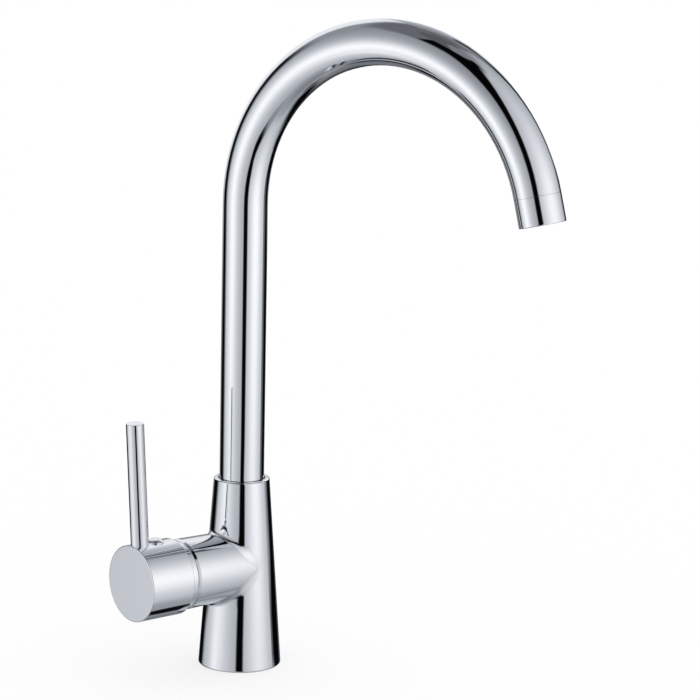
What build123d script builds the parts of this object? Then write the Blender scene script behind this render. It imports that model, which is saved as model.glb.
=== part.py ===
from build123d import *
from math import cos, hypot, radians, sin, sqrt, tan
import os

# Three way filtered water tap: a single-lever kitchen mixer with a swivelling swan-neck spout.
# Millimetres. The origin is the centre of the base on the worktop, +Z is up, +X is the way the
# spout points at rest. A filtered water tube runs inside the spout beside the mixed water.

os.makedirs("parts", exist_ok=True)

# ---------------------------------------------------------------- driving sizes
# Running and seating clearances
RUNNING_FIT = 0.05
SEAT_FIT = 0.02
CUT_PAST = 1.0

# Spout tube: one round bend from an upright run to a short straight outlet
TUBE_R = 14.0
TUBE_WALL = 1.0
TUBE_RISE = 174.2
ARCH_R = 107.4
ARCH_TURN = 165.7

# Filtered water tube on the spout's centreline
FILTER_TUBE_R = 4.0
FILTER_TUBE_WALL = 1.0

# Outlet ferrule and what it holds
FERRULE_LENGTH = 17.0
FERRULE_SPIGOT = 4.0
FERRULE_EDGE = 0.6
FERRULE_SHOULDER = 5.0
SPIGOT_FIT = 0.15
AERATOR_R = 12.0
AERATOR_SHELF = 1.0
AERATOR_RECESS = 0.8
AERATOR_WALL = 1.35
AERATOR_LIP = 0.6
WASHER_THICKNESS = 1.5
INSERT_THICKNESS = 2.2
INSERT_SUNK = 0.8
INSERT_HOLE_R = 0.95
INSERT_INNER_RING = 6.4
INSERT_INNER_HOLES = 12
INSERT_OUTER_RING = 8.8
INSERT_OUTER_HOLES = 18
NOZZLE_R = 4.5
NOZZLE_BORE_R = 3.0
NOZZLE_SEAT = 5.0
NOZZLE_SLEEVE_WALL = 1.2
NOZZLE_SHOULDER = 1.0
NOZZLE_RECESS = 0.2
NOZZLE_COLLAR = 1.5
NOZZLE_COLLAR_WALL = 0.9

# Cast body: a cone with a socket for the spout at the top
BODY_HEIGHT = 120.7
BASE_R = 26.15
RIM_WALL = 2.5
SPOUT_GAP = 1.0
BASE_EDGE = 1.0
RIM_EDGE = 1.2
CAVITY_R = 20.0
CAVITY_DEPTH = 12.0
SEAL_SECTION = 2.3
SEAL_DEPTH = 1.9
SOCKET_WEB = 3.1

# Water ways and fixings in the underside
PORT_CIRCLE_R = 12.0
PORT_R = 4.5
PORT_DEPTH = 10.0
RISER_R = 4.0
FILTER_WAY_R = 3.0
FILTER_CROSS_R = 2.4
MIXED_WAY_BACK = 1.5
STUD_HOLE_R = 3.4
STUD_HOLE_DEPTH = 18.0

# Side arm: a short barrel for the cartridge
ARM_AZIMUTH = -105.2
ARM_HEIGHT = 64.9
ARM_LENGTH = 48.5
ARM_WALL = 4.2
ARM_INSET = 0.2
ARM_FILLET = 2.4
ARM_LIP_LENGTH = 1.6
ARM_LIP_DROP = 0.7

# Cartridge, 35 mm size
CARTRIDGE_R = 17.5
CARTRIDGE_FIT = 0.5
CHAMBER_DEPTH = 36.0
SEAL_HEIGHT = 1.0
SEAL_WIDTH = 1.6
CARTRIDGE_BASE_THICKNESS = 3.0
PEG_R = 1.5
PEG_LENGTH = 1.5
PEG_SIDE = 12.0
PEG_DOWN = 6.0
HOUSING_WALL = 2.5
SHOULDER_WALL = 2.0
FIXED_DISC_THICKNESS = 4.0
MOVING_DISC_R = 10.3
MOVING_DISC_THICKNESS = 3.5
DISC_RECESS_DEPTH = 1.8
DISC_RECESS_WIDTH = 14.8
DISC_RECESS_HEIGHT = 9.6
DISC_RECESS_DOWN = 4.4
COUPLING_THICKNESS = 6.4
COUPLING_GAP = 0.5
CARRIER_FLANGE = 2.5
FLANGE_CLEARANCE = 0.5
NECK_LENGTH = 11.6
NECK_R = 14.9
NECK_BORE_R = 12.5
CARRIER_PROUD = 1.0
INLET_PORT_R = 3.0
INLET_SIDE = 8.0
INLET_UP = 4.0
OUTLET_PORT_R = 2.8
OUTLET_DOWN = 5.5

# Lever pivot, stem and the cover between arm and hub
PIVOT_DEPTH = 9.7
LIFT_ANGLE = 25.0
BALL_ARM = 10.5
BALL_R = 3.0
STEM_NECK_R = 1.9
STEM_SIDE = 8.0
STEM_PLAY = 0.1
STEM_TAIL = 4.3
SLOT_PLAY = 0.15
SLOT_END_PLAY = 0.75
PIN_R = 1.5
PIN_LENGTH = 23.0
NUT_ACROSS_FLATS = 34.0
NUT_HEAD = 4.5
COVER_STEP = 1.0
COVER_SKIRT = 6.2
COVER_WALL = 1.2

# Lever hub and rod
HUB_REAR_GAP = 5.26
HUB_LENGTH = 30.98
HUB_CLEARANCE = 0.8
HUB_RIM = 1.1
HUB_FRONT_EDGE = 0.6
HUB_REAR_EDGE = 0.35
STEM_COVER = 8.7
LEVER_R = 5.56
LEVER_REACH = 101.3
LEVER_LEAN = 3.2
LEVER_RIM_GAP = 0.2
LEVER_EDGE = 0.5
LEVER_SEAT = 4.0
LEVER_STUD_R = 3.0
LEVER_STUD_GAP = 4.5
GRUB_R = 2.5
HEX_KEY = 2.5
HEX_DEPTH = 2.5
CAP_R = 5.25
CAP_FROM_REAR = 12.74
CAP_PROUD = 2.4
CAP_RISE = 2.0
CAP_SEAT = 2.4
CAP_SHANK = 3.5
CAP_SHANK_GAP = 0.5

# Spout swivel
GLIDE_RING_HEIGHT = 2.0
GLIDE_RING_WIDTH = 3.0
BUSH_RECESS = 1.0
BUSH_FOOT_GAP = 1.0
CONNECTOR_HEIGHT = 16.0
CONNECTOR_WEB = 3.0
CONNECTOR_SPIGOT = 9.0
CONNECTOR_BORE_R = 10.0
WEB_HOLE_R = 2.0
WEB_HOLES = 6
STUB_R = 4.0
STUB_BORE_R = 2.2
STUB_LENGTH = 10.0
STUB_RING_GROOVE = 1.4
STUB_RING_DEPTH = 0.9
O_RING_SECTION = 1.45
O_RING_GROOVE = 2.2
LOWER_O_RING = 3.5
UPPER_O_RING = 8.0
LOCK_GROOVE = 12.5
LOCK_GROOVE_WIDTH = 2.5
LOCK_GROOVE_DEPTH = 2.0
LOCK_SCREW_R = 2.5
LOCK_TIP_R = 1.1
LOCK_SCREW_GAP = 0.4
LOCK_SCREW_SUNK = 0.9

# ---------------------------------------------------------------- derived sizes and places
UP = Vector(0, 0, 1)
SOCKET_R = TUBE_R + SPOUT_GAP
BODY_TOP_R = SOCKET_R + RIM_WALL
CHAMBER_R = CARTRIDGE_R + CARTRIDGE_FIT
ARM_R = CHAMBER_R + ARM_WALL


def cone_r(z):
    """Radius of the body's cone at height z."""
    return BASE_R + (BODY_TOP_R - BASE_R) * z / BODY_HEIGHT


ARM_DIR = Vector(cos(radians(ARM_AZIMUTH)), sin(radians(ARM_AZIMUTH)), 0)
SIDEWAYS = Vector(-ARM_DIR.Y, ARM_DIR.X, 0)
ARM_START = Vector(0, 0, ARM_HEIGHT)
ARM = Plane(origin=ARM_START, x_dir=SIDEWAYS, z_dir=ARM_DIR)
ARM_PROFILE = Plane(origin=ARM_START, x_dir=ARM_DIR, z_dir=-SIDEWAYS)
ARM_AXIS = Axis(ARM_START, ARM_DIR)

# Distances along the arm, from the body's axis
CHAMBER_FLOOR = ARM_LENGTH - CHAMBER_DEPTH
BASE_PLATE = CHAMBER_FLOOR + SEAL_HEIGHT
HOUSING_START = BASE_PLATE + CARTRIDGE_BASE_THICKNESS
DISC_FACE = HOUSING_START + FIXED_DISC_THICKNESS
COUPLING_START = DISC_FACE + MOVING_DISC_THICKNESS
FLANGE_START = COUPLING_START + COUPLING_THICKNESS + COUPLING_GAP
NECK_START = FLANGE_START + CARRIER_FLANGE
HOUSING_SHOULDER = NECK_START + SHOULDER_WALL
NECK_END = NECK_START + NECK_LENGTH
PIVOT = ARM_LENGTH - PIVOT_DEPTH
BALL_S = PIVOT - BALL_ARM
LIFT = radians(LIFT_ANGLE)
COVER_R = ARM_R - COVER_STEP
COVER_BALL_R = hypot(COVER_R, ARM_LENGTH + COVER_SKIRT - PIVOT)
STEM_SWING = COVER_BALL_R * sin(LIFT) + STEM_SIDE / 2
COVER_OPENING_R = hypot(STEM_SWING, STEM_SIDE / 2) + HUB_CLEARANCE
HUB_REAR = ARM_LENGTH + HUB_REAR_GAP
HUB_FRONT = HUB_REAR + HUB_LENGTH
HUB_BALL_R = COVER_BALL_R + HUB_CLEARANCE
HUB_R = sqrt(HUB_BALL_R**2 - (HUB_REAR - PIVOT) ** 2) + HUB_RIM
STEM_FRONT = HUB_FRONT - STEM_COVER
CAP_S = HUB_REAR + CAP_FROM_REAR

PIVOT_SIDE = Plane(origin=ARM_START + ARM_DIR * PIVOT, x_dir=ARM_DIR, z_dir=SIDEWAYS)
SCREW_PLANE = Plane(origin=ARM_START + ARM_DIR * CAP_S, x_dir=ARM_DIR, z_dir=UP)
LEAN = radians(LEVER_LEAN)
LEVER_DIR = UP * cos(LEAN) + ARM_DIR * sin(LEAN)
# the rod's seat stays just behind the rounding of the hub's front rim
LEVER_SETBACK = (
    HUB_FRONT_EDGE + LEVER_RIM_GAP + (LEVER_R + SEAT_FIT) / cos(LEAN) + HUB_R * tan(LEAN)
)
LEVER_FOOT = ARM_START + ARM_DIR * (HUB_FRONT - LEVER_SETBACK)
LEVER = Plane(origin=LEVER_FOOT, x_dir=SIDEWAYS, z_dir=LEVER_DIR)

# Heights on the spout's axis
SOCKET_FLOOR = ARM_HEIGHT + CHAMBER_R + SOCKET_WEB
CONNECTOR_FOOT = SOCKET_FLOOR + GLIDE_RING_HEIGHT
TUBE_FOOT = CONNECTOR_FOOT + CONNECTOR_HEIGHT
ARCH_START = BODY_HEIGHT + TUBE_RISE
O_RING_HEIGHTS = (CONNECTOR_FOOT + LOWER_O_RING, CONNECTOR_FOOT + UPPER_O_RING)
LOCK_HEIGHT = CONNECTOR_FOOT + LOCK_GROOVE
STUB_FOOT = CONNECTOR_FOOT - STUB_LENGTH
STUB_RING_HEIGHT = CONNECTOR_FOOT - STUB_LENGTH / 2 - GLIDE_RING_HEIGHT / 2

# The outlet plane stands at the end of the bend and looks along the flow
TURN_LEFT = radians(180 - ARCH_TURN)
OUTLET_POINT = Vector(ARCH_R + ARCH_R * cos(TURN_LEFT), 0, ARCH_START + ARCH_R * sin(TURN_LEFT))
OUTLET = Plane(origin=OUTLET_POINT, x_dir=(0, 1, 0), z_dir=(sin(TURN_LEFT), 0, -cos(TURN_LEFT)))

# Supply ports, seen from above: two beside the arm and one opposite it
PORT_ANGLES = (ARM_AZIMUTH + 60, ARM_AZIMUTH - 60, ARM_AZIMUTH + 180)
PORTS = [
    (PORT_CIRCLE_R * cos(radians(a)), PORT_CIRCLE_R * sin(radians(a))) for a in PORT_ANGLES
]
CAVITY = Plane.XY.offset(CAVITY_DEPTH)

# ---------------------------------------------------------------- tap body, one casting
with BuildPart() as tap_body:
    # cone
    with BuildSketch(Plane.XZ):
        with BuildLine():
            Polyline((0, 0), (BASE_R, 0), (BODY_TOP_R, BODY_HEIGHT), (0, BODY_HEIGHT), close=True)
        make_face()
    revolve(axis=Axis.Z)
    # arm, a hair slimmer at its root so that its flanks run out into the cone
    with BuildSketch(ARM_PROFILE):
        with BuildLine():
            Polyline(
                (0, 0),
                (0, cone_r(ARM_HEIGHT) - ARM_INSET),
                (ARM_LENGTH - ARM_LIP_LENGTH, ARM_R),
                (ARM_LENGTH, ARM_R - ARM_LIP_DROP),
                (ARM_LENGTH, 0),
                close=True,
            )
        make_face()
    revolve(axis=ARM_AXIS)
    crossing = tap_body.edges().filter_by(GeomType.CIRCLE, reverse=True).filter_by(
        GeomType.LINE, reverse=True
    )
    fillet(crossing, ARM_FILLET)
    fillet(tap_body.edges().filter_by(GeomType.CIRCLE).sort_by(Axis.Z)[0], BASE_EDGE)
    # socket for the spout, with its rounded rim
    with BuildSketch(Plane.XY.offset(SOCKET_FLOOR)):
        Circle(SOCKET_R)
    extrude(amount=BODY_HEIGHT - SOCKET_FLOOR, mode=Mode.SUBTRACT)
    rim = tap_body.edges().filter_by(GeomType.CIRCLE).group_by(Axis.Z)[-1]
    fillet(rim.sort_by(SortBy.RADIUS)[-1], RIM_EDGE)
    # cartridge chamber
    with BuildSketch(ARM.offset(CHAMBER_FLOOR)):
        Circle(CHAMBER_R)
    extrude(amount=CHAMBER_DEPTH, mode=Mode.SUBTRACT)
    with BuildSketch(ARM.offset(CHAMBER_FLOOR)):
        with Locations((INLET_SIDE, INLET_UP), (-INLET_SIDE, INLET_UP)):
            Circle(INLET_PORT_R)
    extrude(amount=-(CHAMBER_FLOOR - PORT_CIRCLE_R / 2), mode=Mode.SUBTRACT)
    with BuildSketch(ARM.offset(CHAMBER_FLOOR)):
        with Locations((PEG_SIDE, -PEG_DOWN), (-PEG_SIDE, -PEG_DOWN)):
            Circle(PEG_R + RUNNING_FIT)
    extrude(amount=-(PEG_LENGTH + RUNNING_FIT), mode=Mode.SUBTRACT)
    # mixed water: out of the chamber floor and up into the socket
    with BuildSketch(ARM.offset(CHAMBER_FLOOR)):
        with Locations((0, -OUTLET_DOWN)):
            Circle(OUTLET_PORT_R)
    extrude(amount=-(OUTLET_PORT_R + MIXED_WAY_BACK), mode=Mode.SUBTRACT)
    mixed_way = ARM_DIR * (CHAMBER_FLOOR - OUTLET_PORT_R - MIXED_WAY_BACK)
    with BuildSketch(Plane.XY.offset(ARM_HEIGHT - OUTLET_DOWN)):
        with Locations((mixed_way.X, mixed_way.Y)):
            Circle(OUTLET_PORT_R)
    extrude(amount=SOCKET_FLOOR - ARM_HEIGHT + OUTLET_DOWN, mode=Mode.SUBTRACT)
    # hollow underside, seal groove, supply ports and stud hole
    with BuildSketch():
        Circle(CAVITY_R)
    extrude(amount=CAVITY_DEPTH, mode=Mode.SUBTRACT)
    with BuildSketch():
        Circle((CAVITY_R + BASE_R + SEAL_SECTION) / 2)
        Circle((CAVITY_R + BASE_R - SEAL_SECTION) / 2, mode=Mode.SUBTRACT)
    extrude(amount=SEAL_DEPTH, mode=Mode.SUBTRACT)
    with BuildSketch(CAVITY):
        with Locations(*PORTS):
            Circle(PORT_R)
    extrude(amount=PORT_DEPTH, mode=Mode.SUBTRACT)
    with BuildSketch(CAVITY):
        Circle(STUD_HOLE_R)
    extrude(amount=STUD_HOLE_DEPTH, mode=Mode.SUBTRACT)
    with BuildSketch(CAVITY):
        with Locations(*PORTS[:2]):
            Circle(RISER_R)
    extrude(amount=ARM_HEIGHT + INLET_UP - CAVITY_DEPTH, mode=Mode.SUBTRACT)
    # filtered water: up the side away from the arm, across, and up the spout's axis
    filter_cross = STUB_FOOT - FILTER_WAY_R
    with BuildSketch(CAVITY):
        with Locations(PORTS[2]):
            Circle(FILTER_WAY_R)
    extrude(amount=filter_cross - CAVITY_DEPTH, mode=Mode.SUBTRACT)
    with BuildSketch(Plane(origin=(0, 0, filter_cross), x_dir=SIDEWAYS, z_dir=-ARM_DIR)):
        Circle(FILTER_CROSS_R)
    extrude(amount=PORT_CIRCLE_R, mode=Mode.SUBTRACT)
    with BuildSketch(Plane.XY.offset(filter_cross)):
        Circle(STUB_R + RUNNING_FIT)
    extrude(amount=SOCKET_FLOOR - filter_cross, mode=Mode.SUBTRACT)
    # tapped hole for the spout's locking screw, at the back
    with BuildSketch(Plane(origin=(0, 0, LOCK_HEIGHT), x_dir=(0, 1, 0), z_dir=(-1, 0, 0))):
        Circle(LOCK_SCREW_R)
    extrude(amount=BASE_R, mode=Mode.SUBTRACT)
tap_body.part.label = "tap_body"
export_step(tap_body.part, "parts/tap_body.step")

# ---------------------------------------------------------------- pieces seated in the body
with BuildPart() as base_seal_ring:
    with BuildSketch():
        Circle((CAVITY_R + BASE_R + SEAL_SECTION) / 2 - SEAT_FIT)
        Circle((CAVITY_R + BASE_R - SEAL_SECTION) / 2 + SEAT_FIT, mode=Mode.SUBTRACT)
    extrude(amount=SEAL_DEPTH)
base_seal_ring.part.label = "base_seal_ring"
export_step(base_seal_ring.part, "parts/base_seal_ring.step")

with BuildPart() as lower_glide_ring:
    with BuildSketch(Plane.XY.offset(SOCKET_FLOOR)):
        Circle(SOCKET_R - SEAT_FIT)
        Circle(SOCKET_R - GLIDE_RING_WIDTH, mode=Mode.SUBTRACT)
    extrude(amount=GLIDE_RING_HEIGHT)
lower_glide_ring.part.label = "lower_glide_ring"
export_step(lower_glide_ring.part, "parts/lower_glide_ring.step")

with BuildPart() as upper_glide_bush:
    with BuildSketch(Plane.XY.offset(TUBE_FOOT + BUSH_FOOT_GAP)):
        Circle(SOCKET_R - SEAT_FIT)
        Circle(TUBE_R + RUNNING_FIT, mode=Mode.SUBTRACT)
    extrude(amount=BODY_HEIGHT - BUSH_RECESS - TUBE_FOOT - BUSH_FOOT_GAP)
upper_glide_bush.part.label = "upper_glide_bush"
export_step(upper_glide_bush.part, "parts/upper_glide_bush.step")

# The locking screw's slim tip runs in the connector's groove and keeps the spout down
LOCK_IN = SOCKET_R + LOCK_SCREW_GAP
LOCK_OUT = cone_r(LOCK_HEIGHT) - LOCK_SCREW_SUNK
with BuildPart() as spout_locking_screw:
    with BuildSketch(Plane(origin=(-LOCK_IN, 0, LOCK_HEIGHT), x_dir=(0, 1, 0), z_dir=(-1, 0, 0))):
        Circle(LOCK_SCREW_R - SEAT_FIT)
    extrude(amount=LOCK_OUT - LOCK_IN)
    with BuildSketch(Plane(origin=(-LOCK_IN, 0, LOCK_HEIGHT), x_dir=(0, 1, 0), z_dir=(1, 0, 0))):
        Circle(LOCK_TIP_R)
    extrude(amount=LOCK_GROOVE_DEPTH)
    with BuildSketch(Plane(origin=(-LOCK_OUT, 0, LOCK_HEIGHT), x_dir=(0, 1, 0), z_dir=(1, 0, 0))):
        RegularPolygon(HEX_KEY / 2, 6, major_radius=False)
    extrude(amount=HEX_DEPTH / 2, mode=Mode.SUBTRACT)
spout_locking_screw.part.label = "spout_locking_screw"
export_step(spout_locking_screw.part, "parts/spout_locking_screw.step")

# ---------------------------------------------------------------- cartridge, fixed pieces
with BuildPart() as cartridge_seals:
    with BuildSketch(ARM.offset(CHAMBER_FLOOR)):
        with Locations((INLET_SIDE, INLET_UP), (-INLET_SIDE, INLET_UP)):
            Circle(INLET_PORT_R + SEAL_WIDTH)
            Circle(INLET_PORT_R, mode=Mode.SUBTRACT)
        with Locations((0, -OUTLET_DOWN)):
            Circle(OUTLET_PORT_R + SEAL_WIDTH)
            Circle(OUTLET_PORT_R, mode=Mode.SUBTRACT)
    extrude(amount=SEAL_HEIGHT)
cartridge_seals.part.label = "cartridge_seals"
export_step(cartridge_seals.part, "parts/cartridge_seals.step")

with BuildPart() as cartridge_base:
    with BuildSketch(ARM.offset(BASE_PLATE)):
        Circle(CARTRIDGE_R)
    extrude(amount=CARTRIDGE_BASE_THICKNESS)
    with BuildSketch(ARM.offset(BASE_PLATE)):
        with Locations((PEG_SIDE, -PEG_DOWN), (-PEG_SIDE, -PEG_DOWN)):
            Circle(PEG_R)
    extrude(amount=-(SEAL_HEIGHT + PEG_LENGTH))
    with BuildSketch(ARM.offset(BASE_PLATE)):
        with Locations((INLET_SIDE, INLET_UP), (-INLET_SIDE, INLET_UP)):
            Circle(INLET_PORT_R)
        with Locations((0, -OUTLET_DOWN)):
            Circle(OUTLET_PORT_R)
    extrude(amount=CARTRIDGE_BASE_THICKNESS, mode=Mode.SUBTRACT)
cartridge_base.part.label = "cartridge_base"
export_step(cartridge_base.part, "parts/cartridge_base.step")

with BuildPart() as fixed_ceramic_disc:
    with BuildSketch(ARM.offset(HOUSING_START)):
        Circle(CARTRIDGE_R - HOUSING_WALL - RUNNING_FIT)
        with Locations((INLET_SIDE, INLET_UP), (-INLET_SIDE, INLET_UP)):
            Circle(INLET_PORT_R, mode=Mode.SUBTRACT)
        with Locations((0, -OUTLET_DOWN)):
            Circle(OUTLET_PORT_R, mode=Mode.SUBTRACT)
    extrude(amount=FIXED_DISC_THICKNESS)
fixed_ceramic_disc.part.label = "fixed_ceramic_disc"
export_step(fixed_ceramic_disc.part, "parts/fixed_ceramic_disc.step")

with BuildPart() as cartridge_housing:
    with BuildSketch(ARM_PROFILE):
        with BuildLine():
            Polyline(
                (HOUSING_START, CARTRIDGE_R - HOUSING_WALL),
                (HOUSING_START, CARTRIDGE_R),
                (HOUSING_SHOULDER, CARTRIDGE_R),
                (HOUSING_SHOULDER, NECK_R),
                (NECK_END, NECK_R),
                (NECK_END, NECK_BORE_R),
                (NECK_START, NECK_BORE_R),
                (NECK_START, CARTRIDGE_R - HOUSING_WALL),
                close=True,
            )
        make_face()
    revolve(axis=ARM_AXIS)
cartridge_housing.part.label = "cartridge_housing"
export_step(cartridge_housing.part, "parts/cartridge_housing.step")

with BuildPart() as cartridge_nut:
    with BuildSketch(ARM.offset(HOUSING_SHOULDER)):
        Circle(CHAMBER_R - SEAT_FIT)
    extrude(amount=ARM_LENGTH - HOUSING_SHOULDER)
    with BuildSketch(ARM.offset(ARM_LENGTH)):
        RegularPolygon(NUT_ACROSS_FLATS / 2, 6, major_radius=False)
    extrude(amount=NUT_HEAD)
    with BuildSketch(ARM.offset(HOUSING_SHOULDER)):
        Circle(NECK_R + RUNNING_FIT)
    extrude(amount=ARM_LENGTH + NUT_HEAD - HOUSING_SHOULDER, mode=Mode.SUBTRACT)
cartridge_nut.part.label = "cartridge_nut"
export_step(cartridge_nut.part, "parts/cartridge_nut.step")

# Domed cover over the nut: a short skirt, then a ball centred on the lever's pivot
COVER_INNER_R = COVER_R - COVER_WALL
COVER_INNER_BALL = COVER_BALL_R - COVER_WALL


def ball_s(ball_r, r):
    """Distance along the arm at which a ball about the pivot has radius r."""
    return PIVOT + sqrt(ball_r**2 - r**2)


with BuildPart() as dome_cover:
    with BuildSketch(ARM_PROFILE):
        with BuildLine():
            outer_mid = (COVER_R + COVER_OPENING_R) / 2
            inner_mid = (COVER_INNER_R + COVER_OPENING_R) / 2
            Polyline(
                (ball_s(COVER_INNER_BALL, COVER_INNER_R), COVER_INNER_R),
                (ARM_LENGTH, COVER_INNER_R),
                (ARM_LENGTH, COVER_R),
                (ball_s(COVER_BALL_R, COVER_R), COVER_R),
            )
            ThreePointArc(
                (ball_s(COVER_BALL_R, COVER_R), COVER_R),
                (ball_s(COVER_BALL_R, outer_mid), outer_mid),
                (ball_s(COVER_BALL_R, COVER_OPENING_R), COVER_OPENING_R),
            )
            Line(
                (ball_s(COVER_BALL_R, COVER_OPENING_R), COVER_OPENING_R),
                (ball_s(COVER_INNER_BALL, COVER_OPENING_R), COVER_OPENING_R),
            )
            ThreePointArc(
                (ball_s(COVER_INNER_BALL, COVER_OPENING_R), COVER_OPENING_R),
                (ball_s(COVER_INNER_BALL, inner_mid), inner_mid),
                (ball_s(COVER_INNER_BALL, COVER_INNER_R), COVER_INNER_R),
            )
        make_face()
    revolve(axis=ARM_AXIS)
dome_cover.part.label = "dome_cover"
export_step(dome_cover.part, "parts/dome_cover.step")

# ---------------------------------------------------------------- cartridge, moving pieces
CARRIER_FRONT = NECK_END + CARRIER_PROUD
WINDOW_REACH = (CARRIER_FRONT - PIVOT) * tan(LIFT) + STEM_SIDE / 2 / cos(LIFT) + 2 * STEM_PLAY
with BuildPart() as stem_carrier:
    with BuildSketch(ARM.offset(FLANGE_START)):
        Circle(CARTRIDGE_R - HOUSING_WALL - FLANGE_CLEARANCE)
    extrude(amount=CARRIER_FLANGE)
    with BuildSketch(ARM.offset(NECK_START)):
        Circle(NECK_BORE_R - RUNNING_FIT)
    extrude(amount=NECK_LENGTH + CARRIER_PROUD)
    # window for the stem, as tall as the stem's swing
    with BuildSketch(ARM.offset(FLANGE_START)):
        Rectangle(STEM_SIDE + 2 * STEM_PLAY, 2 * WINDOW_REACH)
    extrude(amount=CARRIER_FRONT - FLANGE_START, mode=Mode.SUBTRACT)
    with BuildSketch(PIVOT_SIDE):
        Circle(PIN_R)
    extrude(amount=CARTRIDGE_R, both=True, mode=Mode.SUBTRACT)
stem_carrier.part.label = "stem_carrier"
export_step(stem_carrier.part, "parts/stem_carrier.step")

with BuildPart() as pivot_pin:
    with BuildSketch(PIVOT_SIDE):
        Circle(PIN_R - SEAT_FIT)
    extrude(amount=PIN_LENGTH / 2, both=True)
pivot_pin.part.label = "pivot_pin"
export_step(pivot_pin.part, "parts/pivot_pin.step")

with BuildPart() as moving_ceramic_disc:
    with BuildSketch(ARM.offset(DISC_FACE)):
        Circle(MOVING_DISC_R)
    extrude(amount=MOVING_DISC_THICKNESS)
    # the recess joins the inlets to the outlet once the disc has slid up
    with BuildSketch(ARM.offset(DISC_FACE)):
        with Locations((0, -DISC_RECESS_DOWN)):
            Ellipse(DISC_RECESS_WIDTH / 2, DISC_RECESS_HEIGHT / 2)
    extrude(amount=DISC_RECESS_DEPTH, mode=Mode.SUBTRACT)
moving_ceramic_disc.part.label = "moving_ceramic_disc"
export_step(moving_ceramic_disc.part, "parts/moving_ceramic_disc.step")

# The slot is wide enough for the ball, and at its mouth for the tilted neck
SLOT_MOUTH = COUPLING_START + COUPLING_THICKNESS
NECK_REACH = (SLOT_MOUTH - BALL_S) * tan(LIFT) + STEM_NECK_R / cos(LIFT)
SLOT_HALF = max(BALL_R, NECK_REACH) + SLOT_PLAY
with BuildPart() as disc_coupling:
    with BuildSketch(ARM.offset(COUPLING_START)):
        Circle(MOVING_DISC_R)
    extrude(amount=COUPLING_THICKNESS)
    # slot that the stem's ball pushes against
    with BuildSketch(ARM.offset(SLOT_MOUTH)):
        Rectangle(2 * (SLOT_HALF + SLOT_END_PLAY), 2 * SLOT_HALF)
    extrude(amount=-(SLOT_MOUTH - BALL_S + SLOT_HALF), mode=Mode.SUBTRACT)
disc_coupling.part.label = "disc_coupling"
export_step(disc_coupling.part, "parts/disc_coupling.step")

with BuildPart() as cartridge_stem:
    with BuildSketch(ARM.offset(PIVOT - STEM_TAIL)):
        Rectangle(STEM_SIDE, STEM_SIDE)
    extrude(amount=STEM_FRONT - PIVOT + STEM_TAIL)
    with BuildSketch(ARM.offset(BALL_S)):
        Circle(STEM_NECK_R)
    extrude(amount=PIVOT - STEM_TAIL - BALL_S)
    with Locations(ARM.offset(BALL_S).location):
        Sphere(BALL_R)
    with BuildSketch(PIVOT_SIDE):
        Circle(PIN_R + RUNNING_FIT)
    extrude(amount=STEM_SIDE, both=True, mode=Mode.SUBTRACT)
cartridge_stem.part.label = "cartridge_stem"
export_step(cartridge_stem.part, "parts/cartridge_stem.step")

# ---------------------------------------------------------------- lever hub and rod
LEVER_SEAT_UP = HUB_R - LEVER_SEAT
LEVER_STUD_END = STEM_SIDE / 2 + LEVER_STUD_GAP
CAP_SEAT_UP = HUB_R - CAP_SEAT
with BuildPart() as handle_hub:
    with BuildSketch(ARM.offset(HUB_REAR)):
        Circle(HUB_R)
    extrude(amount=HUB_LENGTH)
    rims = handle_hub.edges().filter_by(GeomType.CIRCLE).sort_by(ARM_AXIS)
    fillet(rims[-1], HUB_FRONT_EDGE)
    fillet(rims[0], HUB_REAR_EDGE)
    # hollow rear, a ball about the pivot that clears the cover at every tilt
    with Locations(ARM.offset(PIVOT).location):
        Sphere(HUB_BALL_R, mode=Mode.SUBTRACT)
    with BuildSketch(ARM.offset(PIVOT)):
        Rectangle(STEM_SIDE + 2 * SEAT_FIT, STEM_SIDE + 2 * SEAT_FIT)
    extrude(amount=STEM_FRONT - PIVOT, mode=Mode.SUBTRACT)
    # spot-faced and tapped hole for the rod
    with BuildSketch(LEVER.offset(LEVER_SEAT_UP)):
        Circle(LEVER_R + SEAT_FIT)
    extrude(amount=2 * LEVER_SEAT, mode=Mode.SUBTRACT)
    with BuildSketch(LEVER.offset(LEVER_STUD_END)):
        Circle(LEVER_STUD_R)
    extrude(amount=LEVER_SEAT_UP - LEVER_STUD_END, mode=Mode.SUBTRACT)
    # tapped hole for the grub screw, with a seat for its cap
    with BuildSketch(SCREW_PLANE.offset(STEM_SIDE / 2)):
        Circle(GRUB_R)
    extrude(amount=HUB_R, mode=Mode.SUBTRACT)
    with BuildSketch(SCREW_PLANE.offset(CAP_SEAT_UP)):
        Circle(CAP_R + SEAT_FIT)
    extrude(amount=HUB_R, mode=Mode.SUBTRACT)
handle_hub.part.label = "handle_hub"
export_step(handle_hub.part, "parts/handle_hub.step")

with BuildPart() as lever_rod:
    with BuildSketch(LEVER.offset(LEVER_SEAT_UP)):
        Circle(LEVER_R)
    extrude(amount=LEVER_REACH - LEVER_SEAT_UP)
    tip = lever_rod.edges().filter_by(GeomType.CIRCLE).sort_by(Axis(LEVER_FOOT, LEVER_DIR))[-1]
    fillet(tip, LEVER_EDGE)
    with BuildSketch(LEVER.offset(LEVER_STUD_END)):
        Circle(LEVER_STUD_R - SEAT_FIT)
    extrude(amount=LEVER_SEAT_UP - LEVER_STUD_END)
lever_rod.part.label = "lever_rod"
export_step(lever_rod.part, "parts/lever_rod.step")

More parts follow.
